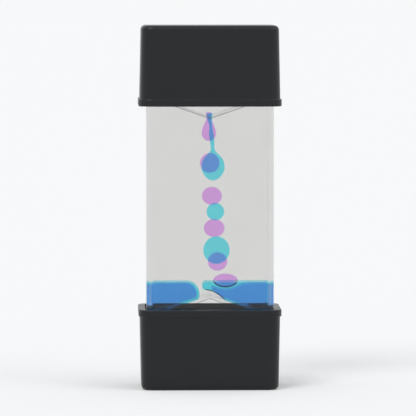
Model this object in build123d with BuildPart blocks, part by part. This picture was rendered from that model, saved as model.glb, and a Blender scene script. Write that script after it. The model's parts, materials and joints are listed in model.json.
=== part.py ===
from build123d import *
from math import cos, radians, tan
import os

# Liquid motion timer, in millimetres. It stands on its lower cap with +Z up, the front
# chamber towards -Y, and the origin in the middle of the face that it stands on. Every
# end piece is drawn from its own end of the timer, so the two ends are alike.

# Caps
timer_height = 140.0
cap_width = 55.0
cap_depth = 35.0
cap_height = 31.0
cap_corner_radius = 5.0
cap_draft = 0.6
cap_wall = 1.55
cap_end_thickness = 2.4
cap_edge_radius = 1.8
lip_height = 2.8
lip_projection = 0.5
lip_edge_radius = 0.4
pocket_clearance = 0.35
crush_rib_width = 1.4
crush_rib_setback = 5.0
crush_rib_spacing_across = 17.0
crush_rib_spacing_deep = 12.0
seat_rib_width = 1.6
seat_rib_height = 1.8
seat_rib_spacing = 32.0

# Tank and the divider between its two chambers
tank_wall = 2.0
tank_corner_radius = 2.4
tank_inner_radius = 0.8
divider_thickness = 1.5
groove_depth = 0.8
slide_clearance = 0.1

# Lids that close the ends of the tank, and the plugs of their filling holes
lid_thickness = 1.8
spigot_length = 2.4
fill_hole_diameter = 4.0
plug_clearance = 0.05
plug_head_diameter = 6.4
plug_head_thickness = 1.1
plug_head_radius = 0.4
plug_tip_length = 0.9
plug_tip_taper = 0.5

# Funnels: a pitched roof with a drip hole in its ridge, on two legs that stand on the lid
ridge_height = 36.4
ridge_radius = 1.2
roof_angle = 19.0
funnel_thickness = 1.3
drip_hole_diameter = 2.0
return_slot_length = 3.2
return_slot_inset = 1.0
return_slot_rib = 2.2
return_slot_margin = 1.275

# Liquids: clear carrier liquid, and dye that sinks through it
wall_film = 0.05
drop_clearance = 0.3
air_gap = 3.0
sump_depth = 13.0

# Dye pools in the gutters beside the ridge of each lower funnel
front_pool_rise = 5.0
front_pool_crest = 8.6
front_pool_foot = 4.5
front_nose_reach = 3.0
front_nose_touch = 2.4
rear_pool_rise = 3.4
rear_pool_crest = 9.0
rear_pool_foot = 4.9
rear_far_crest = 3.6
rear_far_foot = 1.6

# Dye that has landed on the rear pool and not yet joined it
landed_drop_height = 5.4
landed_drop_offset = 6.5
landed_drop_float = 0.8
landed_drop_film = 0.5
dimple_rim_radius = 1.6

# Dye that is still coming out of the two upper drip holes
thread_waist_diameter = 1.2
thread_swell_diameter = 1.9
thread_neck_diameter = 1.45
mouth_diameter = 2.6
mouth_rise = 0.8
hole_fit_clearance = 0.1
pendant_drift = 1.3
teardrop_drift = 0.1

# One number serves every cut that has to run past a face
overrun = 1.0

# Falling drops. Each row gives the drop's centre below the upper ridge and its height, as
# shares of its chamber's fall, and its drift to the right and its width, as shares of the
# chamber's width and depth.
front_drop_shares = {
    "front_drop_upper": (0.568, 0.108, 0.049, 0.583),
    "front_drop_lower": (0.807, 0.171, 0.058, 0.872),
}
rear_drop_shares = {
    "rear_drop_top": (0.285, 0.128, 0.009, 0.651),
    "rear_drop_upper": (0.497, 0.116, 0.027, 0.664),
    "rear_drop_lower": (0.705, 0.116, 0.047, 0.688),
    "rear_drop_bottom": (0.921, 0.119, 0.076, 0.647),
}
thread_level_shares = (0.19, 0.50, 0.82)
pendant_centre_share = 0.292
pendant_height_share = 0.169
pendant_width_share = 0.766
teardrop_widest_share = 0.089
teardrop_tip_share = 0.144
teardrop_width_share = 0.485
landed_drop_width_share = 0.809
teardrop_flank_share = 0.50
shoulder_share = 0.72
quarter_round_share = 0.5523
nose_level_shares = (0.50, 0.70)
nose_lean_share = 0.50

# Sizes that follow from those above
cap_surround = lip_projection + cap_draft + cap_wall
pocket_width = cap_width - 2 * cap_surround
pocket_depth = cap_depth - 2 * cap_surround
tank_width = pocket_width - 2 * pocket_clearance
tank_depth = pocket_depth - 2 * pocket_clearance
inner_width = tank_width - 2 * tank_wall
inner_depth = tank_depth - 2 * tank_wall
half_width = inner_width / 2
chamber_depth = (inner_depth - divider_thickness) / 2
chamber_middle = (divider_thickness + chamber_depth) / 2
groove_width = divider_thickness + 2 * slide_clearance
lid_height = cap_end_thickness + seat_rib_height
tank_end_height = lid_height + lid_thickness
floor_height = tank_end_height + spigot_length
upper_ridge = timer_height - ridge_height
roof_slope = tan(radians(roof_angle))
roof_rise = funnel_thickness / cos(radians(roof_angle))
hole_rim_height = roof_rise + roof_slope * drip_hole_diameter / 2
mouth_height = hole_rim_height + mouth_rise
funnel_half_width = half_width - slide_clearance
funnel_depth = chamber_depth - 2 * slide_clearance
return_slot_width = (funnel_depth - return_slot_rib) / 2 - return_slot_margin
return_slot_spacing = return_slot_width + return_slot_rib
leg_inside = funnel_half_width - funnel_thickness
chambers = {"front": -chamber_middle, "rear": chamber_middle}
drop_shares = {"front": front_drop_shares, "rear": rear_drop_shares}
pool_tops = {"front": ridge_height + front_pool_rise, "rear": ridge_height + rear_pool_rise}
landed_height = pool_tops["rear"] + landed_drop_float
landed_drop_width = landed_drop_width_share * chamber_depth
landings = {"front": pool_tops["front"], "rear": landed_height + landed_drop_height / 2}
falls = {chamber: upper_ridge - landing for chamber, landing in landings.items()}
pendant_centre = pendant_centre_share * falls["front"]
pendant_half_height = pendant_height_share * falls["front"] / 2
pendant_width = pendant_width_share * chamber_depth
teardrop_widest = teardrop_widest_share * falls["rear"]
teardrop_tip = teardrop_tip_share * falls["rear"]
teardrop_width = teardrop_width_share * chamber_depth
hanging_tips = {"front": pendant_centre + pendant_half_height, "rear": teardrop_tip}


def end_plane(end, height):
    """The level plane at a height above one end of the timer, facing its middle."""
    if end == "lower":
        return Plane(origin=(0, 0, height), x_dir=(1, 0, 0), z_dir=(0, 0, 1))
    return Plane(origin=(0, 0, timer_height - height), x_dir=(-1, 0, 0), z_dir=(0, 0, -1))


def section_plane(chamber, end):
    """The upright plane through the middle of a chamber, with heights from one end."""
    if end == "lower":
        return Plane(origin=(0, chambers[chamber], 0), x_dir=(1, 0, 0), z_dir=(0, -1, 0))
    middle = (0, chambers[chamber], timer_height)
    return Plane(origin=middle, x_dir=(-1, 0, 0), z_dir=(0, -1, 0))


def roof_height(across):
    """Height of a funnel's fall side above its own end of the timer."""
    return ridge_height - roof_slope * abs(across)


def draw_chamber(chamber, gap):
    """Draws the plan of one chamber in the open sketch, held in by a gap all round."""
    RectangleRounded(inner_width - 2 * gap, inner_depth - 2 * gap, tank_inner_radius)
    with Locations((0, chambers[chamber])):
        Rectangle(inner_width, chamber_depth - 2 * gap, mode=Mode.INTERSECT)


def trim_to_chamber(chamber, gap):
    """Keeps only what lies inside one chamber of the tank."""
    with BuildSketch(Plane.XY) as plan:
        draw_chamber(chamber, gap)
    extrude(plan.sketch, amount=timer_height, mode=Mode.INTERSECT)


def make_cap(end):
    """A moulded cap: drafted walls, a lip round the mouth, ribs that grip and seat the tank."""
    mouth_width = cap_width - 2 * lip_projection
    mouth_depth = cap_depth - 2 * lip_projection
    end_width = mouth_width - 2 * cap_draft
    end_depth = mouth_depth - 2 * cap_draft
    with BuildPart() as cap:
        with BuildSketch(end_plane(end, 0)):
            RectangleRounded(end_width, end_depth, cap_corner_radius - cap_draft)
        with BuildSketch(end_plane(end, cap_height)):
            RectangleRounded(mouth_width, mouth_depth, cap_corner_radius)
        loft()
        end_face = cap.faces().filter_by(Axis.Z).sort_by(Axis.Z)[0 if end == "lower" else -1]
        fillet(end_face.edges(), radius=cap_edge_radius)
        with BuildSketch(end_plane(end, cap_height - lip_height)):
            RectangleRounded(cap_width, cap_depth, cap_corner_radius + lip_projection)
        extrude(amount=lip_height)
        lip_faces = cap.faces().filter_by(Axis.Z).sort_by(Axis.Z)
        lip_faces = lip_faces[-2:] if end == "lower" else lip_faces[:2]
        lip_edges = ShapeList(edge for face in lip_faces for edge in face.outer_wire().edges())
        fillet(lip_edges, radius=lip_edge_radius)
        with BuildSketch(end_plane(end, cap_end_thickness)):
            RectangleRounded(pocket_width, pocket_depth, tank_corner_radius + pocket_clearance)
        extrude(amount=cap_height, mode=Mode.SUBTRACT)
        with BuildSketch(end_plane(end, cap_end_thickness)):
            with GridLocations(seat_rib_spacing, 0, 2, 1):
                Rectangle(seat_rib_width, pocket_depth)
        extrude(amount=seat_rib_height)
        with BuildSketch(end_plane(end, cap_end_thickness)):
            row_gap = pocket_depth - pocket_clearance
            with GridLocations(crush_rib_spacing_across, row_gap, 3, 2):
                Rectangle(crush_rib_width, pocket_clearance)
            column_gap = pocket_width - pocket_clearance
            with GridLocations(column_gap, crush_rib_spacing_deep, 2, 2):
                Rectangle(pocket_clearance, crush_rib_width)
        extrude(amount=cap_height - cap_end_thickness - crush_rib_setback)
    return cap.part


def make_tank():
    """The clear tank: one tube, open at both ends, with a groove down each side wall."""
    with BuildPart() as tank:
        with BuildSketch(Plane.XY.offset(tank_end_height)):
            RectangleRounded(tank_width, tank_depth, tank_corner_radius)
            RectangleRounded(inner_width, inner_depth, tank_inner_radius, mode=Mode.SUBTRACT)
            Rectangle(inner_width + 2 * groove_depth, groove_width, mode=Mode.SUBTRACT)
        extrude(amount=timer_height - 2 * tank_end_height)
    return tank.part


def make_divider():
    """The clear wall between the chambers, which slides down the tank's grooves."""
    with BuildPart() as divider:
        with BuildSketch(Plane.XY.offset(tank_end_height + slide_clearance)):
            Rectangle(inner_width + 2 * (groove_depth - slide_clearance), divider_thickness)
        extrude(amount=timer_height - 2 * (tank_end_height + slide_clearance))
    return divider.part


def make_lid(end, has_fill_holes):
    """A lid with a spigot that plugs the tank's end and is slotted over the divider."""
    with BuildPart() as lid:
        with BuildSketch(end_plane(end, lid_height)):
            RectangleRounded(tank_width, tank_depth, tank_corner_radius)
        extrude(amount=lid_thickness)
        with BuildSketch(end_plane(end, tank_end_height)):
            spigot_width = inner_width - 2 * slide_clearance
            spigot_depth = inner_depth - 2 * slide_clearance
            RectangleRounded(spigot_width, spigot_depth, tank_inner_radius)
            Rectangle(inner_width, groove_width, mode=Mode.SUBTRACT)
        extrude(amount=spigot_length)
        if has_fill_holes:
            with BuildSketch(end_plane(end, lid_height)):
                with GridLocations(0, 2 * chamber_middle, 1, 2):
                    Circle(fill_hole_diameter / 2)
            extrude(amount=lid_thickness + spigot_length, mode=Mode.SUBTRACT)
    return lid.part


def make_plug(chamber):
    """A push-in plug with a thin head, in the filling hole of one chamber."""
    shank_radius = fill_hole_diameter / 2 - plug_clearance
    with BuildPart() as plug:
        with BuildSketch(section_plane(chamber, "upper")):
            with BuildLine():
                Polyline(
                    (0, lid_height - plug_head_thickness),
                    (plug_head_diameter / 2, lid_height - plug_head_thickness),
                    (plug_head_diameter / 2, lid_height),
                    (shank_radius, lid_height),
                    (shank_radius, floor_height - plug_tip_length),
                    (shank_radius - plug_tip_taper, floor_height),
                    (0, floor_height),
                    close=True,
                )
            make_face()
        revolve(axis=Axis((0, chambers[chamber], 0), (0, 0, 1)))
        fillet(plug.edges().sort_by(Axis.Z)[-1], radius=plug_head_radius)
    return plug.part


def make_funnel(chamber, end):
    """A funnel: its roof sheds dye into the gutters, or gathers it when turned over."""
    inside_ridge = ridge_height - roof_rise
    with BuildPart() as funnel:
        with BuildSketch(section_plane(chamber, end)):
            Polygon(
                (-funnel_half_width, floor_height),
                (funnel_half_width, floor_height),
                (funnel_half_width, roof_height(funnel_half_width)),
                (0, ridge_height),
                (-funnel_half_width, roof_height(funnel_half_width)),
                align=None,
            )
            Polygon(
                (-leg_inside, floor_height - overrun),
                (leg_inside, floor_height - overrun),
                (leg_inside, inside_ridge - roof_slope * leg_inside),
                (0, inside_ridge),
                (-leg_inside, inside_ridge - roof_slope * leg_inside),
                align=None,
                mode=Mode.SUBTRACT,
            )
        extrude(amount=chamber_depth, both=True)
        ridge = funnel.edges().filter_by(Axis.Y).sort_by(Axis.Z)
        ridge = ridge[-1] if end == "lower" else ridge[0]
        fillet(ridge, radius=ridge_radius)
        trim_to_chamber(chamber, slide_clearance)
        slot_place = leg_inside - return_slot_inset - return_slot_length / 2
        with BuildSketch(end_plane(end, floor_height)):
            with Locations((0, chambers[chamber])):
                Circle(drip_hole_diameter / 2)
                with GridLocations(2 * slot_place, return_slot_spacing, 2, 2):
                    Rectangle(return_slot_length, return_slot_width)
        extrude(amount=ridge_height, mode=Mode.SUBTRACT)
    return funnel.part


def draw_settled_edge(side, crest, foot, top):
    """Draws one gutter's dye: level, then rounded down to the roof where it stops."""
    wall = half_width - wall_film
    with BuildLine() as outline:
        Polyline(
            (side * foot, roof_height(foot) + wall_film),
            (side * wall, roof_height(wall) + wall_film),
            (side * wall, top),
            (side * crest, top),
        )
        TangentArc(
            (side * crest, top),
            (side * foot, roof_height(foot) + wall_film),
            tangent=(-side, 0),
        )
    make_face(outline.edges())


def make_front_pool():
    """Front dye pool: a rounded left part, and a right part whose nose hangs over the ridge."""
    top = pool_tops["front"]
    wall = half_width - wall_film
    rise = top - ridge_height
    tip_share, over_share = nose_level_shares
    touch = (front_nose_touch, roof_height(front_nose_touch) + wall_film)
    with BuildPart() as pool:
        with BuildSketch(section_plane("front", "lower")):
            draw_settled_edge(-1, front_pool_crest, front_pool_foot, top)
            with BuildLine():
                Polyline(
                    touch,
                    (wall, roof_height(wall) + wall_film),
                    (wall, top),
                    (-front_nose_reach * tip_share, top),
                )
                Spline(
                    (-front_nose_reach * tip_share, top),
                    (-front_nose_reach, ridge_height + rise * over_share),
                    (-front_nose_reach * tip_share, ridge_height + rise * tip_share),
                    touch,
                    tangents=[(-1, 0), (nose_lean_share, -1)],
                )
            make_face()
        extrude(amount=chamber_depth, both=True)
        trim_to_chamber("front", wall_film)
    return pool.part


def make_rear_pool():
    """Rear dye pool, with the dimple that the landed drop sits in."""
    top = pool_tops["rear"]
    with BuildPart() as pool:
        with BuildSketch(section_plane("rear", "lower")):
            draw_settled_edge(-1, rear_pool_crest, rear_pool_foot, top)
            draw_settled_edge(1, rear_far_crest, rear_far_foot, top)
            with Locations((landed_drop_offset, landed_height)):
                Ellipse(
                    landed_drop_width / 2 + landed_drop_film,
                    landed_drop_height / 2 + landed_drop_film,
                    mode=Mode.SUBTRACT,
                )
        extrude(amount=chamber_depth, both=True)
        trim_to_chamber("rear", wall_film)
        rim_place = (landed_drop_offset + landed_drop_width / 2, chambers["rear"], top)
        fillet(pool.edges().filter_by(Axis.Y).sort_by_distance(rim_place)[0], radius=dimple_rim_radius)
    return pool.part


def draw_belly(across, height, radius, rise):
    """Draws a quarter of a rounded outline, from its lowest or highest point to its side."""
    handle = quarter_round_share
    Bezier(
        (across, height + rise),
        (across + radius * handle, height + rise),
        (across + radius, height + rise * handle),
        (across + radius, height),
    )


def make_drop(chamber, across, height, width, depth):
    """A rounded drop of dye, wider or taller than a ball."""
    with BuildPart() as drop:
        with BuildSketch(section_plane(chamber, "lower")):
            with BuildLine():
                draw_belly(across, height, width / 2, depth / 2)
                draw_belly(across, height, width / 2, -depth / 2)
                Line((across, height + depth / 2), (across, height - depth / 2))
            make_face()
        revolve(axis=Axis((across, chambers[chamber], height), (0, 0, 1)))
    return drop.part


def drop_place(chamber, name):
    """A falling drop's place across, height, width and depth, from its row of shares."""
    centre_share, height_share, drift_share, width_share = drop_shares[chamber][name]
    return (
        drift_share * inner_width,
        upper_ridge - centre_share * falls[chamber],
        width_share * chamber_depth,
        height_share * falls[chamber],
    )


def leaning_plane(chamber, drift, length):
    """A section plane whose upright axis leans from a drip hole to the drop below it."""
    lean = Vector(drift, 0, -length).normalized()
    origin = (0, chambers[chamber], upper_ridge)
    return Plane(origin=origin, x_dir=(-lean.Z, 0, lean.X), z_dir=(0, -1, 0))


def draw_mouth():
    """Draws dye from its top, in the valley over a drip hole, down to the hole's mouth."""
    hole_fill = drip_hole_diameter / 2 - hole_fit_clearance
    Polyline(
        (0, mouth_height),
        (mouth_diameter / 2, mouth_height),
        (hole_fill, hole_rim_height + wall_film),
        (hole_fill, 0),
    )
    return hole_fill


def make_pendant():
    """Front dye on its way out: a long uneven thread that ends in a heavy drop."""
    radius = pendant_width / 2
    neck = thread_neck_diameter / 2
    shoulder = pendant_centre - pendant_half_height
    waist_level, swell_level, neck_level = [-share * shoulder for share in thread_level_shares]
    leaning = leaning_plane("front", pendant_drift, pendant_centre)
    with BuildPart() as pendant:
        with BuildSketch(leaning):
            with BuildLine():
                hole_fill = draw_mouth()
                Spline(
                    (hole_fill, 0),
                    (thread_waist_diameter / 2, waist_level),
                    (thread_swell_diameter / 2, swell_level),
                    (neck, neck_level),
                    tangents=[(0, -1), (0, -1)],
                )
                Bezier(
                    (neck, neck_level),
                    (neck, -shoulder),
                    (radius, pendant_half_height * shoulder_share - pendant_centre),
                    (radius, -pendant_centre),
                )
                draw_belly(0, -pendant_centre, radius, -pendant_half_height)
                Line((0, -hanging_tips["front"]), (0, mouth_height))
            make_face()
        revolve(axis=Axis(leaning.origin, leaning.y_dir))
    return pendant.part


def make_teardrop():
    """Rear dye on its way out: a short teardrop that still hangs at its hole."""
    radius = teardrop_width / 2
    leaning = leaning_plane("rear", teardrop_drift, teardrop_tip)
    with BuildPart() as teardrop:
        with BuildSketch(leaning):
            with BuildLine():
                hole_fill = draw_mouth()
                Bezier(
                    (hole_fill, 0),
                    (radius * teardrop_flank_share, -teardrop_widest * teardrop_flank_share),
                    (radius, -teardrop_widest * shoulder_share),
                    (radius, -teardrop_widest),
                )
                draw_belly(0, -teardrop_widest, radius, teardrop_widest - teardrop_tip)
                Line((0, -teardrop_tip), (0, mouth_height))
            make_face()
        revolve(axis=Axis(leaning.origin, leaning.y_dir))
    return teardrop.part


def make_sump_dye(chamber):
    """Dye that has run through the return slots and lies under the lower funnel."""
    with BuildPart() as sump:
        with BuildSketch(Plane.XY.offset(floor_height + wall_film)):
            with Locations((0, chambers[chamber])):
                Rectangle(2 * (leg_inside - wall_film), chamber_depth - 2 * wall_film)
        extrude(amount=sump_depth)
    return sump.part


def fall_limits(chamber):
    """How far the drops of a chamber can sink and rise together, each with clearance."""
    places = [drop_place(chamber, name) for name in drop_shares[chamber]]
    lowest = min(height - depth / 2 for _, height, _, depth in places)
    highest = max(height + depth / 2 for _, height, _, depth in places)
    hanging_tip = upper_ridge - hanging_tips[chamber]
    return lowest - landings[chamber] - drop_clearance, hanging_tip - highest - drop_clearance


def draw_under_roof(low, gap):
    """Draws the room under a funnel's roof, between its legs, from a level up."""
    side = leg_inside - gap
    peak = ridge_height - roof_rise - gap
    Polygon(
        (-side, low),
        (side, low),
        (side, peak - roof_slope * side),
        (0, peak),
        (-side, peak - roof_slope * side),
        align=None,
    )


def make_carrier(chamber, dye):
    """Clear liquid that fills a chamber round its dye, open where the drops travel."""
    wall = half_width - wall_film
    sink, rise = fall_limits(chamber)
    print(chamber, "drops sink", round(sink, 3), "and rise", round(rise, 3))
    with BuildPart() as carrier:
        with BuildSketch(section_plane(chamber, "lower")):
            Polygon(
                (-wall, roof_height(wall) + wall_film),
                (0, ridge_height + wall_film),
                (wall, roof_height(wall) + wall_film),
                (wall, timer_height - roof_height(wall) - wall_film),
                (0, upper_ridge - wall_film),
                (-wall, timer_height - roof_height(wall) - wall_film),
                align=None,
            )
            draw_under_roof(floor_height + sump_depth + 2 * wall_film, wall_film)
        with BuildSketch(section_plane(chamber, "upper")):
            draw_under_roof(floor_height + air_gap, wall_film)
        extrude(amount=chamber_depth, both=True)
        trim_to_chamber(chamber, wall_film)
        for name in drop_shares[chamber]:
            across, height, width, depth = drop_place(chamber, name)
            low = height - depth / 2 - sink - drop_clearance
            high = height + depth / 2 + rise + drop_clearance
            with BuildSketch(Plane.XY.offset(low)):
                with Locations((across, chambers[chamber])):
                    Circle(width / 2 + drop_clearance)
            extrude(amount=high - low, mode=Mode.SUBTRACT)
        for piece in dye:
            add(piece, mode=Mode.SUBTRACT)
    return carrier.part


def make_parts():
    """Every piece of the timer, by name."""
    parts = {
        "tank_shell": make_tank(),
        "chamber_divider": make_divider(),
        "lower_tank_lid": make_lid("lower", False),
        "upper_tank_lid": make_lid("upper", True),
        "front_dye_pool": make_front_pool(),
        "rear_dye_pool": make_rear_pool(),
        "front_forming_drop": make_pendant(),
        "rear_forming_drop": make_teardrop(),
        "rear_landed_drop": make_drop(
            "rear", landed_drop_offset, landed_height, landed_drop_width, landed_drop_height
        ),
    }
    for end in ("lower", "upper"):
        parts[f"{end}_cap"] = make_cap(end)
        for chamber in chambers:
            parts[f"{end}_{chamber}_funnel"] = make_funnel(chamber, end)
    for chamber, shares in drop_shares.items():
        parts[f"{chamber}_fill_plug"] = make_plug(chamber)
        parts[f"{chamber}_sump_dye"] = make_sump_dye(chamber)
        for name in shares:
            parts[name] = make_drop(chamber, *drop_place(chamber, name))
    front_dye = [parts["front_dye_pool"], parts["front_forming_drop"]]
    rear_dye = [parts[f"rear_{name}"] for name in ("dye_pool", "forming_drop", "landed_drop")]
    parts["front_carrier_liquid"] = make_carrier("front", front_dye)
    parts["rear_carrier_liquid"] = make_carrier("rear", rear_dye)
    return parts


os.makedirs("parts", exist_ok=True)
for part_name, part in make_parts().items():
    part.label = part_name
    export_step(part, f"parts/{part_name}.step")
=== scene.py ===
import json
from math import atan2, cos, pi, radians, sin, sqrt, tan

import bmesh
import bpy
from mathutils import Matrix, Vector

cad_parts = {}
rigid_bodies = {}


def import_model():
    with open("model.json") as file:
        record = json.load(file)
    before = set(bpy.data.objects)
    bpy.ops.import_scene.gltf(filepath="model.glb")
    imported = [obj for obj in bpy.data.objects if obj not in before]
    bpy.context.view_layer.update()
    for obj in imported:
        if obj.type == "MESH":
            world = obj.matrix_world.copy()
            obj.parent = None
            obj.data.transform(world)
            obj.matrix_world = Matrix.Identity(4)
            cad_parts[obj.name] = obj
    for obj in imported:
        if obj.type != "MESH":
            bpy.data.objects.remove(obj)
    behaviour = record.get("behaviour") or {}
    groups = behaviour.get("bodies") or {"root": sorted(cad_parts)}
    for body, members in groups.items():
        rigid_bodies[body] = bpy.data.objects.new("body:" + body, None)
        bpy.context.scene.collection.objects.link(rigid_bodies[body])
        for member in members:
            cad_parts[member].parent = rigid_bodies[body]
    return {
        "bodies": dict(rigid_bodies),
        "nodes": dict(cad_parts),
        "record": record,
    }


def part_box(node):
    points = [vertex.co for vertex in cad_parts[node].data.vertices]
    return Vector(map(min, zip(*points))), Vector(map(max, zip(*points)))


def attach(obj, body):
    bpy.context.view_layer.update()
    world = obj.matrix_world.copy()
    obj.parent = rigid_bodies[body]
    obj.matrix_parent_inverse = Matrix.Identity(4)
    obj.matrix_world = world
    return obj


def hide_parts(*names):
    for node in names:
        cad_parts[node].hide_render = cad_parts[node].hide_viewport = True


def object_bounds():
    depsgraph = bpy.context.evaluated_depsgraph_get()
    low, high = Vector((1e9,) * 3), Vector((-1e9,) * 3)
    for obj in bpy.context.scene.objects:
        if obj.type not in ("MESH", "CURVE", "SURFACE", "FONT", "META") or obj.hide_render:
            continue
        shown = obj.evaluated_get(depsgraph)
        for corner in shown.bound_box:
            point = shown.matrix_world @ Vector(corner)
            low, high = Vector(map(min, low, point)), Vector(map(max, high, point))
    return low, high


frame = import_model()
cad_low, cad_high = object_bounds()

# The view, in metres, degrees and pixels of the photograph
MM = 0.001
FRAME_PIXELS = 416
METRES_PER_PIXEL = 0.387 * MM
CAMERA_DISTANCE = 1.5
CAMERA_REACH = 100.0
CAMERA_AZIMUTH = -1.6
CAMERA_ELEVATION = 3.3
FLOOR_REACH = 15.0
TIMER_CENTRE_PIXEL = (209.2, 206.1)

# Sizes that only the look needs, and those that the frame's boxes don't tell
FLOOR_GAP = 0.02 * MM
WALL_FILM = 0.05 * MM
TANK_CORNER = 2.4 * MM
TANK_INNER_CORNER = 0.8 * MM
SLIDE_GAP = 0.1 * MM
MENISCUS = 0.8 * MM
# The inserts' rounded edges and lines and the pool's front line carry painted shade
INSERT_EDGE = 0.12 * MM
INSERT_LINE = 0.3 * MM
UPPER_LINE_START = 0.5 * MM
LOWER_LINE_START = 0.01 * MM
POOL_EDGE = 0.45 * MM
POOL_LINE = 0.9 * MM
ROOF_ANGLE = radians(19)
ROOF_THICKNESS = 1.3 * MM
HOLE_FILL = 0.9 * MM
MOUTH_FLARE = 0.16
NECK_SHARES = (0.35, 0.0)
DROP_WAIST_SHARE = 0.49

# What the materials share: how cloudy a dye is, how far its swirls and the flow marks of clear
# pieces differ, how wide the caps' edges are rubbed, and how deep their grain and waves are
CLOUD_SHARE = 0.03
SWIRL_SHARES = (1.02, 0.97)
FLOW_SHARE = 0.99
RUB_WIDTH = 0.7 * MM
GRAIN_DEPTH = 0.05 * MM
WAVE_DEPTH = 0.03 * MM

# How finely the shapes are drawn, and the angles at which their edges count as sharp
WELD = 0.001 * MM
POINT_RADIUS = 0.0001 * MM
ON_WALL = 0.012 * MM
FLAT_ANGLE = radians(0.5)
SHARP_ANGLE = radians(25)
PLASTIC_CREASE = radians(30)
LIQUID_CREASE = radians(50)
DROP_CREASE = radians(60)
TANK_STEPS = 12
LIQUID_STEPS = 6
INNER_STEPS = 8
INSERT_STEPS = 2
POOL_EDGE_STEPS = 4
POOL_STEPS = 8
HANGING_STEPS = 5
DROP_RINGS = 32
DROP_SIDES = 56

# Outlines of dye that hangs from a drip hole. The mouth's rows are the share of its height
# over the ridge, and of its radius. The others are shares of the drift, the length and the
# radius of the drop that hangs below the ridge.
MOUTH_SHARES = ((1.0, 0.0), (0.985, 0.7), (0.87, 1.0), (0.68, 0.82))
PENDANT_SHARES = (
    (0.20, 0.054, 0.150), (0.31, 0.101, 0.130), (0.39, 0.148, 0.142), (0.43, 0.205, 0.180),
    (0.54, 0.261, 0.210), (0.67, 0.318, 0.206), (0.77, 0.374, 0.190), (0.84, 0.431, 0.165),
    (0.90, 0.477, 0.165), (0.94, 0.508, 0.215), (0.98, 0.543, 0.350), (1.0, 0.581, 0.555),
    (1.0, 0.645, 0.820), (1.0, 0.712, 0.955), (1.0, 0.778, 1.0), (1.0, 0.842, 0.945),
    (1.0, 0.915, 0.735), (1.0, 0.970, 0.440), (1.0, 0.993, 0.210), (1.0, 1.0, 0.0),
)
TEARDROP_SHARES = (
    (0.2, 0.104, 0.42), (0.6, 0.305, 0.72), (1.0, 0.507, 0.93), (1.0, 0.645, 1.0),
    (1.0, 0.795, 0.91), (1.0, 0.92, 0.60), (1.0, 0.98, 0.30), (1.0, 1.0, 0.0),
)

# Dye in the right gutter, from its surface round its free end to where it meets the roof: how
# far it lies to the right and how far below its highest level, in millimetres. The front dye
# has a tongue over the ridge, and the rear dye a dimple under the drop that has landed.
FRONT_DYE = (
    (-1.7, 0.0), (-2.55, 0.45), (-3.0, 1.6), (-2.6, 2.65),
    (-1.6, 3.1), (0.2, 3.35), (1.8, 4.1), (3.5, 5.15), (5.6, 6.9),
)
REAR_DYE = (
    (16.5, 0.0), (14.2, 0.25), (12.4, 0.75), (11.1, 1.35), (10.1, 1.85), (8.6, 2.3), (6.5, 2.45),
    (4.4, 2.3), (2.7, 1.85), (1.6, 1.6), (1.1, 1.85), (1.6, 2.45), (2.7, 3.3), (4.0, 4.2), (5.4, 5.2),
)
TONGUE_ROWS = (4, 8)
FRONT_END = (8.6 * MM, 4.5 * MM)
REAR_END = (9.0 * MM, 4.9 * MM)


# Camera, light and floor
def make_camera():
    """A long lens, a little left of the front and a little above it."""
    data = bpy.data.cameras.new("camera")
    camera = bpy.data.objects.new("camera", data)
    bpy.context.scene.collection.objects.link(camera)
    bpy.context.scene.camera = camera
    data.lens = data.sensor_width * CAMERA_DISTANCE / (FRAME_PIXELS * METRES_PER_PIXEL)
    data.clip_end = CAMERA_REACH
    azimuth, elevation = radians(CAMERA_AZIMUTH), radians(CAMERA_ELEVATION)
    back = Vector((sin(azimuth) * cos(elevation), -cos(azimuth) * cos(elevation), sin(elevation)))
    middle = FRAME_PIXELS / 2
    across = (middle - TIMER_CENTRE_PIXEL[0]) * METRES_PER_PIXEL
    up = (TIMER_CENTRE_PIXEL[1] - middle) * METRES_PER_PIXEL
    target = Vector((across, 0, (cad_low.z + cad_high.z) / 2 + up))
    camera.location = target + back * CAMERA_DISTANCE
    camera.rotation_mode = "QUATERNION"
    camera.rotation_quaternion = (-back).to_track_quat("-Z", "Y")


def build_nodes(tree, steps):
    """Adds shader nodes by name: (kind, settings, inputs). An input is a value or (node, output)."""
    made = {name: tree.nodes.new(kind) for name, (kind, _, _) in steps.items()}
    for name, (_, settings, inputs) in steps.items():
        for key, value in settings.items():
            setattr(made[name], key, value)
        for key, value in inputs.items():
            socket = made[name].inputs[key]
            if isinstance(value, tuple) and isinstance(value[0], str):
                tree.links.new(made[value[0]].outputs[value[1]], socket)
            else:
                socket.default_value = value


def new_tree(owner):
    """An empty node tree on a material or world."""
    owner.use_nodes = True
    owner.node_tree.nodes.clear()
    return owner.node_tree


def new_material(name, steps):
    material = bpy.data.materials.new(name)
    build_nodes(new_tree(material), steps)
    return material


def link_mesh(name, mesh):
    piece = bpy.data.objects.new(name, mesh)
    bpy.context.scene.collection.objects.link(piece)
    return piece


# Steps that tell the camera's rays, also by way of a mirror or glass, from those of the lighting
SEEN_RAYS = {
    "path": ("ShaderNodeLightPath", {}, {}),
    "bent": ("ShaderNodeMath", {"operation": "MAXIMUM"}, {
        0: ("path", "Is Glossy Ray"), 1: ("path", "Is Transmission Ray"),
    }),
    "seen": ("ShaderNodeMath", {"operation": "MAXIMUM"}, {0: ("path", "Is Camera Ray"), 1: ("bent", 0)}),
}


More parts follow.
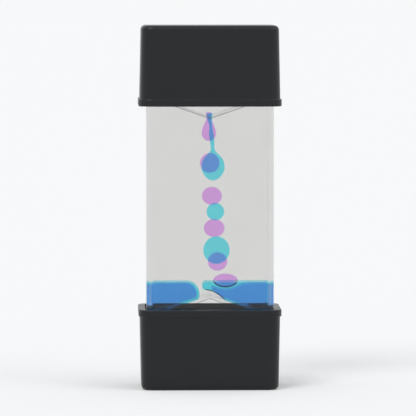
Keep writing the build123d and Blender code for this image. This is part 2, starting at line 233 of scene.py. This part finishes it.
def make_world():
    """As pale as the far floor where it is seen, and a plain soft light elsewhere."""
    world = bpy.data.worlds.new("studio")
    bpy.context.scene.world = world
    build_nodes(new_tree(world), {
        **SEEN_RAYS,
        "light": ("ShaderNodeBackground", {}, {"Color": (0.60, 0.61, 0.62, 1), "Strength": 1.0}),
        "backdrop": ("ShaderNodeBackground", {}, {"Color": (0.932, 0.941, 0.948, 1), "Strength": 1.0}),
        "mix": ("ShaderNodeMixShader", {}, {0: ("seen", 0), 1: ("light", 0), 2: ("backdrop", 0)}),
        "out": ("ShaderNodeOutputWorld", {}, {"Surface": ("mix", 0)}),
    })


def make_floor():
    """A pale floor that reads as white, keeps the timer's shadow and doesn't hide it from below."""
    mesh = bpy.data.meshes.new("floor")
    corners = [(-1, -1), (1, -1), (1, 1), (-1, 1)]
    points = [(x * FLOOR_REACH, y * FLOOR_REACH, cad_low.z - FLOOR_GAP) for x, y in corners]
    mesh.from_pydata(points, [], [(0, 1, 2, 3)])
    floor = link_mesh("floor", mesh)
    mesh.materials.append(new_material("pale_floor", {
        **SEEN_RAYS,
        "paint": ("ShaderNodeBsdfDiffuse", {}, {"Color": (0.86, 0.86, 0.86, 1)}),
        "glow": ("ShaderNodeEmission", {}, {"Color": (1, 1, 1, 1), "Strength": 0.14}),
        "lifted": ("ShaderNodeAddShader", {}, {0: ("paint", 0), 1: ("glow", 0)}),
        "mix": ("ShaderNodeMixShader", {}, {0: ("seen", 0), 1: ("paint", 0), 2: ("lifted", 0)}),
        "side": ("ShaderNodeNewGeometry", {}, {}),
        "under": ("ShaderNodeMath", {"operation": "MULTIPLY"}, {
            0: ("side", "Backfacing"), 1: ("path", "Is Camera Ray"),
        }),
        "clear": ("ShaderNodeBsdfTransparent", {}, {"Color": (1, 1, 1, 1)}),
        "shown": ("ShaderNodeMixShader", {}, {0: ("under", 0), 1: ("mix", 0), 2: ("clear", 0)}),
        "out": ("ShaderNodeOutputMaterial", {}, {"Surface": ("shown", 0)}),
    }))


def make_sun(name, direction, strength, spread):
    """A wide soft sun that shines along a direction."""
    data = bpy.data.lights.new(name, "SUN")
    data.energy = strength
    data.angle = radians(spread)
    lamp = bpy.data.objects.new(name, data)
    lamp.rotation_mode = "QUATERNION"
    lamp.rotation_quaternion = Vector(direction).to_track_quat("-Z", "Y")
    bpy.context.scene.collection.objects.link(lamp)


# Materials
def skin_steps(index, mask):
    """Steps that lay a skin over the inside where a mask lets it, more of it at a glancing angle."""
    return {
        "edge": ("ShaderNodeFresnel", {}, {"IOR": index}),
        "rim": ("ShaderNodeMath", {"operation": "MULTIPLY"}, {0: (mask, 0), 1: ("edge", 0)}),
        "covered": ("ShaderNodeMixShader", {}, {0: ("rim", 0), 1: ("inside", 0), 2: ("skin", 0)}),
        "out": ("ShaderNodeOutputMaterial", {}, {"Surface": ("covered", 0)}),
    }


def wet_skin(index):
    """Steps for the gloss of a clear or dyed surface, on its outer side only."""
    return {
        "side": ("ShaderNodeNewGeometry", {}, {}),
        "outer": ("ShaderNodeMath", {"operation": "SUBTRACT"}, {0: 1.0, 1: ("side", "Backfacing")}),
        "skin": ("ShaderNodeBsdfGlossy", {}, {"Color": (1, 1, 1, 1), "Roughness": 0.05}),
        **skin_steps(index, "outer"),
    }


def painted_shade_underside(index):
    """Steps for painted shade: a dark tint on the lower rim of a drop that lies on a film of clear
    liquid, in place of the light that the film bends away.
    """
    return {
        "box": ("ShaderNodeTexCoord", {}, {}),
        "height": ("ShaderNodeSeparateXYZ", {}, {"Vector": ("box", "Generated")}),
        "below": ("ShaderNodeMapRange", {"interpolation_type": "SMOOTHSTEP"}, {
            "Value": ("height", "Z"), "From Min": 0.62, "From Max": 0.42, "To Min": 0.0, "To Max": 1.0,
        }),
        # Painted shade: the dark tint laid on the drop's lower rim
        "skin": ("ShaderNodeBsdfTransparent", {}, {"Color": (0.14, 0.16, 0.26, 1)}),
        **skin_steps(index, "below"),
    }


def dye_material(name, through, body, skin):
    """Translucent dye: light that passes both of a drop's faces is tinted by the through colour."""
    light, deep = [tuple(sqrt(part) * share for part in through) + (1,) for share in SWIRL_SHARES]
    return new_material(name, {
        "place": ("ShaderNodeTexCoord", {}, {}),
        "swirl": ("ShaderNodeTexNoise", {}, {
            "Vector": ("place", "Object"), "Scale": 260.0, "Detail": 2.0, "Distortion": 0.6,
        }),
        "shade": ("ShaderNodeMix", {"data_type": "RGBA"}, {
            "Factor": ("swirl", "Fac"), 6: light, 7: deep,
        }),
        "clear": ("ShaderNodeBsdfTransparent", {}, {"Color": ("shade", 2)}),
        "cloud": ("ShaderNodeBsdfTranslucent", {}, {"Color": body}),
        "inside": ("ShaderNodeMixShader", {}, {0: CLOUD_SHARE, 1: ("clear", 0), 2: ("cloud", 0)}),
        **skin,
    })


def clear_material(name, tint, index):
    """A clear face that lets light through unbent, with faint flow marks and the gloss of its index."""
    marks = tuple(part * FLOW_SHARE for part in tint[:3]) + (1,)
    return new_material(name, {
        "place": ("ShaderNodeTexCoord", {}, {}),
        "flow": ("ShaderNodeTexNoise", {}, {"Vector": ("place", "Object"), "Scale": 90.0, "Detail": 3.0}),
        "shade": ("ShaderNodeMix", {"data_type": "RGBA"}, {"Factor": ("flow", "Fac"), 6: tint, 7: marks}),
        "inside": ("ShaderNodeBsdfTransparent", {}, {"Color": ("shade", 2)}),
        **wet_skin(index),
    })


def tank_material():
    """Polished acrylic: it bends light, and lets lamp light through to what is inside."""
    return new_material("polished_acrylic", {
        "place": ("ShaderNodeTexCoord", {}, {}),
        "wave": ("ShaderNodeTexNoise", {}, {"Vector": ("place", "Object"), "Scale": 55.0, "Detail": 1.0}),
        "bump": ("ShaderNodeBump", {}, {
            "Strength": 0.15, "Distance": WAVE_DEPTH, "Height": ("wave", "Fac"),
        }),
        "path": ("ShaderNodeLightPath", {}, {}),
        "glass": ("ShaderNodeBsdfPrincipled", {}, {
            "Base Color": (0.97, 0.975, 0.98, 1), "Roughness": 0.0, "IOR": 1.49,
            "Transmission Weight": 1.0, "Normal": ("bump", 0),
        }),
        "clear": ("ShaderNodeBsdfTransparent", {}, {"Color": (0.93, 0.935, 0.94, 1)}),
        "skin": ("ShaderNodeMixShader", {}, {
            0: ("path", "Is Shadow Ray"), 1: ("glass", 0), 2: ("clear", 0),
        }),
        "out": ("ShaderNodeOutputMaterial", {}, {"Surface": ("skin", 0)}),
    })


def plastic_material(name, colour, worn_colour, roughness):
    """Moulded plastic: fine grain, a little unevenness in its sheen, and edges rubbed paler."""
    return new_material(name, {
        "place": ("ShaderNodeTexCoord", {}, {}),
        "side": ("ShaderNodeNewGeometry", {}, {}),
        "rounded": ("ShaderNodeBevel", {"samples": 6}, {"Radius": RUB_WIDTH}),
        "turned": ("ShaderNodeVectorMath", {"operation": "DOT_PRODUCT"}, {
            0: ("rounded", 0), 1: ("side", "Normal"),
        }),
        "rub": ("ShaderNodeTexNoise", {}, {"Vector": ("place", "Object"), "Scale": 420.0, "Detail": 4.0}),
        "edge": ("ShaderNodeMapRange", {}, {
            "Value": ("turned", "Value"),
            "From Min": 0.995, "From Max": 0.90, "To Min": 0.0, "To Max": 1.0,
        }),
        "wear": ("ShaderNodeMath", {"operation": "MULTIPLY"}, {0: ("edge", 0), 1: ("rub", "Fac")}),
        "shade": ("ShaderNodeMix", {"data_type": "RGBA"}, {
            "Factor": ("wear", 0), 6: colour, 7: worn_colour,
        }),
        "patch": ("ShaderNodeTexNoise", {}, {
            "Vector": ("place", "Object"), "Scale": 60.0, "Detail": 3.0,
        }),
        "sheen": ("ShaderNodeMapRange", {}, {
            "Value": ("patch", "Fac"), "From Min": 0.3, "From Max": 0.7,
            "To Min": roughness - 0.04, "To Max": roughness + 0.05,
        }),
        "grain": ("ShaderNodeTexNoise", {}, {
            "Vector": ("place", "Object"), "Scale": 3800.0, "Detail": 2.0,
        }),
        "bump": ("ShaderNodeBump", {}, {
            "Strength": 0.22, "Distance": GRAIN_DEPTH, "Height": ("grain", "Fac"),
        }),
        "plastic": ("ShaderNodeBsdfPrincipled", {}, {
            "Base Color": ("shade", 2), "Roughness": ("sheen", 0), "IOR": 1.38, "Normal": ("bump", 0),
        }),
        "out": ("ShaderNodeOutputMaterial", {}, {"Surface": ("plastic", 0)}),
    })


# Geometry helpers
def rounded_outline(width, depth, radius, steps):
    """A rounded rectangle about the origin, as points in order."""
    points = []
    for corner in range(4):
        turn = corner * pi / 2
        sx = 1 if corner in (0, 3) else -1
        sy = 1 if corner in (0, 1) else -1
        centre = (sx * (width / 2 - radius), sy * (depth / 2 - radius))
        for step in range(steps + 1):
            angle = turn + step * pi / 2 / steps
            points.append((centre[0] + radius * cos(angle), centre[1] + radius * sin(angle)))
    return points


def cut_grooves(outline, reach, width):
    """Adds a square groove to both ends of an outline, where it crosses the middle."""
    points = []
    for i, (x, y) in enumerate(outline):
        points.append((x, y))
        next_x, next_y = outline[(i + 1) % len(outline)]
        if y * next_y < 0:
            side = 1 if x > 0 else -1
            half = width / 2 if y > 0 else -width / 2
            points += [(x, half), (side * reach, half), (side * reach, -half), (x, -half)]
    return points


def make_wall(bm, outline, low, high, long_slot, short_slot):
    """An upright wall along a closed outline. Gives its lowest and highest edges."""
    loops = [[bm.verts.new((x, y, z)) for x, y in outline] for z in (low, high)]
    for i, vertex in enumerate(loops[0]):
        j = (i + 1) % len(outline)
        face = bm.faces.new((vertex, loops[0][j], loops[1][j], loops[1][i]))
        is_short = (loops[0][j].co - vertex.co).length < TANK_CORNER
        face.material_index = short_slot if is_short else long_slot
    return [[bm.edges.get((loop[i - 1], vertex)) for i, vertex in enumerate(loop)] for loop in loops]


def smooth_rows(rows, steps):
    """A smooth run of rows through the given ones."""
    rows = [Vector(row) for row in rows]
    smoothed = [rows[0]]
    for i in range(len(rows) - 1):
        before, start, end = rows[max(i - 1, 0)], rows[i], rows[i + 1]
        after = rows[min(i + 2, len(rows) - 1)]
        for step in range(1, steps + 1):
            t = step / steps
            smoothed.append(0.5 * (
                2 * start + (end - before) * t
                + (2 * before - 5 * start + 4 * end - after) * t ** 2
                + (3 * start - before - 3 * end + after) * t ** 3
            ))
    return smoothed


def lathe(bm, rows, middle_y):
    """A closed round form from rows of (across, height, radius), top first. A thin row is a point."""
    loops = []
    for across, height, radius in rows:
        sides = DROP_SIDES if radius > POINT_RADIUS else 1
        turns = [2 * pi * i / DROP_SIDES for i in range(sides)]
        points = [(across + radius * cos(a), middle_y + radius * sin(a), height) for a in turns]
        loops.append([bm.verts.new(point) for point in points])
    for upper, lower in zip(loops, loops[1:]):
        for i in range(DROP_SIDES):
            j = (i + 1) % DROP_SIDES
            below = [lower[i % len(lower)], lower[j % len(lower)]]
            above = [upper[j % len(upper)], upper[i % len(upper)]]
            bm.faces.new(list(dict.fromkeys(below + above)))


def copy_node(name):
    """A working copy of a node's shape, with its flat faces made whole again."""
    bm = bmesh.new()
    bm.from_mesh(frame["nodes"][name].data)
    bmesh.ops.remove_doubles(bm, verts=bm.verts, dist=WELD)
    bmesh.ops.dissolve_limit(bm, angle_limit=FLAT_ANGLE, verts=bm.verts, edges=bm.edges)
    return bm


def round_edges(bm, offset, steps, slot):
    """Rounds the sharp edges as far as the faces beside them allow."""
    sharp = [edge for edge in bm.edges if edge.calc_face_angle(0) > SHARP_ANGLE]
    bmesh.ops.bevel(
        bm, geom=sharp, offset=offset, segments=steps, profile=0.5, affect="EDGES",
        material=slot, clamp_overlap=True,
    )


def finish_piece(name, bm, materials, body, crease):
    """Turns a bmesh into a piece that rides on a body. An edge is sharp from the crease angle on."""
    mesh = bpy.data.meshes.new(name)
    bmesh.ops.recalc_face_normals(bm, faces=bm.faces)
    for face in bm.faces:
        face.smooth = True
    for edge in bm.edges:
        edge.smooth = edge.calc_face_angle(0) < crease
    bm.to_mesh(mesh)
    bm.free()
    for material in materials:
        mesh.materials.append(material)
    piece = link_mesh(name, mesh)
    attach(piece, body)
    return piece


# Pieces
def make_tank(flat, corner, inside):
    """The clear tube, with a groove for the divider in each side wall. Its rounded corners bend light."""
    low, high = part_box("tank_shell")
    _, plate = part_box("chamber_divider")
    liquid_low, liquid_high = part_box("front_carrier_liquid")
    size = high - low
    wall = (size.x - (liquid_high.x - liquid_low.x)) / 2 - WALL_FILM
    outer = rounded_outline(size.x, size.y, TANK_CORNER, TANK_STEPS)
    inner = rounded_outline(size.x - 2 * wall, size.y - 2 * wall, TANK_INNER_CORNER, INNER_STEPS)
    inner = cut_grooves(inner, plate.x + SLIDE_GAP, 2 * (plate.y + SLIDE_GAP))
    bm = bmesh.new()
    outer_ends = make_wall(bm, outer, low.z, high.z, 0, 1)
    inner_ends = make_wall(bm, inner, low.z, high.z, 2, 2)
    for outer_end, inner_end in zip(outer_ends, inner_ends):
        filled = bmesh.ops.triangle_fill(bm, edges=outer_end + inner_end, use_beauty=True)
        for face in filled["geom"]:
            if isinstance(face, bmesh.types.BMFace):
                face.material_index = 2
    materials = [flat, corner, inside]
    piece = finish_piece("clear_tank", bm, materials, "timer", PLASTIC_CREASE)
    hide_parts("tank_shell")


def make_liquid(chamber, material):
    """A chamber's clear liquid, drawn up a little along the walls where it meets the air."""
    name = f"{chamber}_carrier_liquid"
    low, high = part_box(name)
    floor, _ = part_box(f"{chamber}_sump_dye")
    width, depth = high.x - low.x, high.y - low.y
    middle_y = (low.y + high.y) / 2
    rows = [(0, floor.z), (0, high.z - MENISCUS), (0, high.z), (MENISCUS, high.z - MENISCUS)]
    bm = bmesh.new()
    loops = []
    for inset, height in rows:
        outline = rounded_outline(width - 2 * inset, depth - 2 * inset, TANK_INNER_CORNER, LIQUID_STEPS)
        loops.append([bm.verts.new((x, y + middle_y, height)) for x, y in outline])
    for lower, upper in zip(loops, loops[1:]):
        for i, vertex in enumerate(lower):
            j = (i + 1) % len(lower)
            bm.faces.new((vertex, lower[j], upper[j], upper[i]))
    bm.faces.new(loops[0])
    bm.faces.new(loops[-1])
    new_name = f"{chamber}_clear_liquid"
    piece = finish_piece(new_name, bm, [material], "timer", LIQUID_CREASE)
    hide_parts(name)


def draw_roof_line(bm, name, slot):
    """Marks a thin strip of painted shade along the edge where a funnel's roof meets the tank's front or
    rear wall.
    """
    low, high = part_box(name)
    wall_y = low.y if low.y < 0 else high.y
    way = 1 if name.startswith("upper") else -1
    start = UPPER_LINE_START if way > 0 else LOWER_LINE_START
    hollow_z = (low.z if way > 0 else high.z) + way * ROOF_THICKNESS / cos(ROOF_ANGLE)
    slope = way * tan(ROOF_ANGLE)
    for side in (-1, 1):
        for offset in (start, start + INSERT_LINE):
            bmesh.ops.bisect_plane(
                bm, geom=bm.verts[:] + bm.edges[:] + bm.faces[:],
                plane_co=(0, 0, hollow_z - way * offset), plane_no=(-side * slope, 0, 1),
            )
    for face in bm.faces:
        x, y, z = face.calc_center_median()
        offset = way * (hollow_z + abs(x) * slope - z)
        if abs(y - wall_y) < ON_WALL and start < offset < start + INSERT_LINE:
            face.material_index = slot


def make_insert(name, face_material, edge_material, line_material):
    """A clear moulded piece inside the tank, whose rounded edges and roof lines are darker tints: painted
    shade in place of the light that they bend.
    """
    bm = copy_node(name)
    if name.endswith("funnel"):
        draw_roof_line(bm, name, 2)
    round_edges(bm, INSERT_EDGE, INSERT_STEPS, 1)
    materials = [face_material, edge_material, line_material]
    piece = finish_piece(f"clear_{name}", bm, materials, "timer", PLASTIC_CREASE)
    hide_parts(name)


def belly_rows(middle, radius, rise, fall):
    """A drop's rows: fuller below than above, as it is when it sinks."""
    across, height = middle
    rows = []
    for step in range(DROP_RINGS + 1):
        angle = pi * step / DROP_RINGS
        reach = rise if angle < pi / 2 else fall
        rows.append((across, height + reach * cos(angle), radius * sin(angle)))
    return rows


def make_loose_drop(name, material, body):
    """A drop that has come loose, as wide and as high as its solid."""
    low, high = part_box(name)
    middle = ((low.x + high.x) / 2, low.z + (high.z - low.z) * DROP_WAIST_SHARE)
    rows = belly_rows(middle, (high.x - low.x) / 2, high.z - middle[1], middle[1] - low.z)
    bm = bmesh.new()
    lathe(bm, rows, (low.y + high.y) / 2)
    piece = finish_piece(f"{name}_dye", bm, [material], body, DROP_CREASE)
    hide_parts(name)


def make_hanging_drop(name, outline, material):
    """Dye on its way out of a drip hole, with its mouth in the funnel over the hole."""
    low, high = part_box(name)
    ridge_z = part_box("upper_front_funnel")[0].z
    radius = (high.x - low.x) / 2
    drift = (high.x + low.x) / 2
    mouth_height = high.z - ridge_z
    mouth_radius = HOLE_FILL + mouth_height * MOUTH_FLARE
    rows = [(0, ridge_z + mouth_height * level, mouth_radius * share) for level, share in MOUTH_SHARES]
    rows += [(0, ridge_z + mouth_height * level, HOLE_FILL) for level in NECK_SHARES]
    rows += [
        (drift * drift_share, ridge_z - (ridge_z - low.z) * level, radius * share)
        for drift_share, level, share in outline
    ]
    run = smooth_rows(rows, HANGING_STEPS)
    run = [(row.x, min(max(row.y, low.z), high.z), max(row.z, 0)) for row in run]
    bm = bmesh.new()
    lathe(bm, run, (low.y + high.y) / 2)
    piece = finish_piece(f"{name}_dye", bm, [material], "timer", DROP_CREASE)
    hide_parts(name)


def settled_end(crest, foot, top, foot_height):
    """The rounded right end of the left gutter's dye, an arc from its surface down to its foot."""
    across, down = crest - foot, top - foot_height
    radius = (across ** 2 + down ** 2) / (2 * down)
    turn = atan2(across, radius - down)
    steps = [turn * i / DROP_RINGS for i in range(DROP_RINGS + 1)]
    return [(-crest + radius * sin(a), top - radius * (1 - cos(a))) for a in steps]


def shrink(outline, inset):
    """An anticlockwise outline drawn in all round, each point square to the run beside it."""
    points = []
    for i, point in enumerate(outline):
        before, after = Vector(outline[i - 1]), Vector(outline[(i + 1) % len(outline)])
        along = (Vector(point) - before).normalized() + (after - Vector(point)).normalized()
        along.normalize()
        points.append(Vector(point) + Vector((-along.y, along.x)) * inset)
    return points


def make_slab(bm, outline, near_y, far_y, underside):
    """A body with one outline from front to back, rounded at both ends, with a dark line of painted shade
    under its front on the underside rows.
    """
    bends = [pi / 2 * i / POOL_EDGE_STEPS for i in range(POOL_EDGE_STEPS + 1)]
    rounding = [(POOL_EDGE * (1 - cos(a)), POOL_EDGE * (1 - sin(a))) for a in bends]
    rounding.append((POOL_LINE, 0.0))
    rows = [(near_y + along, inset) for along, inset in rounding]
    rows += [(far_y - along, inset) for along, inset in reversed(rounding)]
    loops = [[bm.verts.new((p.x, y, p.y)) for p in shrink(outline, inset)] for y, inset in rows]
    middle = len(rounding) - 1
    for k, (near, far) in enumerate(zip(loops, loops[1:])):
        for i, vertex in enumerate(near):
            face = bm.faces.new((near[i - 1], vertex, far[i], far[i - 1]))
            face.material_index = 1 if k < middle and i in underside else 0
    bm.faces.new(loops[0])
    bm.faces.new(loops[-1])


def make_gutter_dye(chamber, left_end, rows, underside, materials):
    """Dye in a chamber's two gutters, its edges drawn round by surface tension."""
    name = f"{chamber}_dye_pool"
    low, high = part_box(name)
    ridge_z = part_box(f"lower_{chamber}_funnel")[1].z

    def on_roof(x):
        return x, ridge_z - abs(x) * tan(ROOF_ANGLE) + WALL_FILM

    crest, foot = left_end
    settled = settled_end(crest, foot, high.z, on_roof(foot)[1])
    free = [(p.x * MM, high.z - p.y * MM) for p in smooth_rows(rows, POOL_STEPS)]
    bm = bmesh.new()
    left = [(low.x, high.z), on_roof(low.x)] + settled[::-1]
    right = free[:-1] + [on_roof(free[-1][0]), on_roof(high.x), (high.x, high.z)]
    make_slab(bm, left, low.y, high.y, ())
    make_slab(bm, right, low.y, high.y, underside)
    piece = finish_piece(f"{name}_liquid", bm, materials, "timer", LIQUID_CREASE)
    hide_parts(name)


def make_pool(name, material):
    """Settled dye, its edges drawn round by surface tension."""
    bm = copy_node(name)
    round_edges(bm, POOL_EDGE, POOL_EDGE_STEPS, 0)
    piece = finish_piece(f"{name}_liquid", bm, [material], "timer", LIQUID_CREASE)
    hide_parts(name)


# Camera, light and floor of the scene
scene = bpy.context.scene
scene.view_settings.view_transform = "Standard"
scene.cycles.max_bounces = 24
scene.cycles.transmission_bounces = 24
scene.cycles.transparent_max_bounces = 64

make_camera()
make_world()
make_floor()
make_sun("key_light", (0.45, 0.75, -0.9), 1.0, 25)
make_sun("fill_light", (-0.8, 0.5, -0.7), 0.5, 40)

# Dyes by the colour that they let through, the colour of their cloud and the index of their
# surface, and clear materials by tint and index
PINK = (0.87, 0.46, 1.0)
PINK_CLOUD = (0.7, 0.3, 0.65, 1)
cyan = dye_material("cyan_dye", (0.18, 0.87, 0.98), (0.13, 0.6, 0.72, 1), wet_skin(1.05))
pink = dye_material("pink_dye", PINK, PINK_CLOUD, wet_skin(1.05))
# The landed drop's dark underside is painted shade
landed_pink = dye_material("landed_pink_dye", PINK, PINK_CLOUD, painted_shade_underside(1.1))
deep_cyan = dye_material("deep_cyan_dye", (0.11, 0.83, 0.97), (0.1, 0.55, 0.7, 1), wet_skin(1.05))
deep_pink = dye_material("deep_pink_dye", (0.62, 0.45, 0.99), (0.6, 0.25, 0.6, 1), wet_skin(1.05))
plate_face = clear_material("clear_plate", (0.985, 0.986, 0.988, 1), 1.02)
# The plate edge and line tints and the line under the dye are painted shade, darker where clear edges
# bend light away
plate_shade_edge = clear_material("clear_plate_painted_shade_edge", (0.80, 0.805, 0.81, 1), 1.05)
plate_shade_line = clear_material("clear_plate_painted_shade_line", (0.42, 0.42, 0.425, 1), 1.05)
faint_shade_line = clear_material("clear_plate_faint_painted_shade_line", (0.80, 0.80, 0.805, 1), 1.05)
wet_wall = clear_material("wetted_acrylic", (0.903, 0.899, 0.886, 1), 1.03)
shade_line_under_dye = clear_material("painted_shade_under_dye", (0.10, 0.14, 0.22, 1), 1.05)
lid_face = clear_material("moulded_lid", (0.88, 0.885, 0.89, 1), 1.12)
liquid = clear_material("clear_oil", (0.985, 0.985, 0.985, 1), 1.02)
tank_face = clear_material("acrylic_wall", (0.985, 0.985, 0.985, 1), 1.49)

# The tank and the clear pieces in it
make_tank(tank_face, tank_material(), wet_wall)
for chamber in ("front", "rear"):
    make_liquid(chamber, liquid)
for name in ("lower_front_funnel", "upper_front_funnel"):
    make_insert(name, plate_face, plate_shade_edge, plate_shade_line)
for name in ("chamber_divider", "lower_rear_funnel", "upper_rear_funnel"):
    make_insert(name, plate_face, plate_shade_edge, faint_shade_line)

# Dyes: the loose drops, each on its own body of the same name, and the dye that stays in place
nodes = frame["nodes"]
slots = {row["node"]: row["material_slot"] for row in frame["record"]["subparts"]}
dyes = {"cyan_dye": cyan, "pink_dye": pink}
for body in frame["bodies"]:
    if body in nodes:
        make_loose_drop(body, dyes[slots[body]], body)
make_loose_drop("rear_landed_drop", landed_pink, "timer")
make_hanging_drop("front_forming_drop", PENDANT_SHARES, cyan)
make_hanging_drop("rear_forming_drop", TEARDROP_SHARES, pink)
# Rows under the front dye's tongue that take the painted shade line
underside = range(*(row * POOL_STEPS for row in TONGUE_ROWS))
make_gutter_dye("front", FRONT_END, FRONT_DYE, underside, [deep_cyan, shade_line_under_dye])
make_gutter_dye("rear", REAR_END, REAR_DYE, (), [deep_pink])
make_pool("front_sump_dye", deep_cyan)
make_pool("rear_sump_dye", deep_pink)

# Caps, lids and plugs, which keep the solids' own shapes
black_paint = (0.006, 0.0065, 0.008, 1)
worn_black = (0.045, 0.045, 0.048, 1)
black = plastic_material("moulded_black_plastic", black_paint, worn_black, 0.34)
for name in ("lower_cap", "upper_cap"):
    nodes[name].data.materials.clear()
    nodes[name].data.materials.append(black)
for name in ("lower_tank_lid", "upper_tank_lid", "front_fill_plug", "rear_fill_plug"):
    nodes[name].data.materials.clear()
    nodes[name].data.materials.append(lid_face)
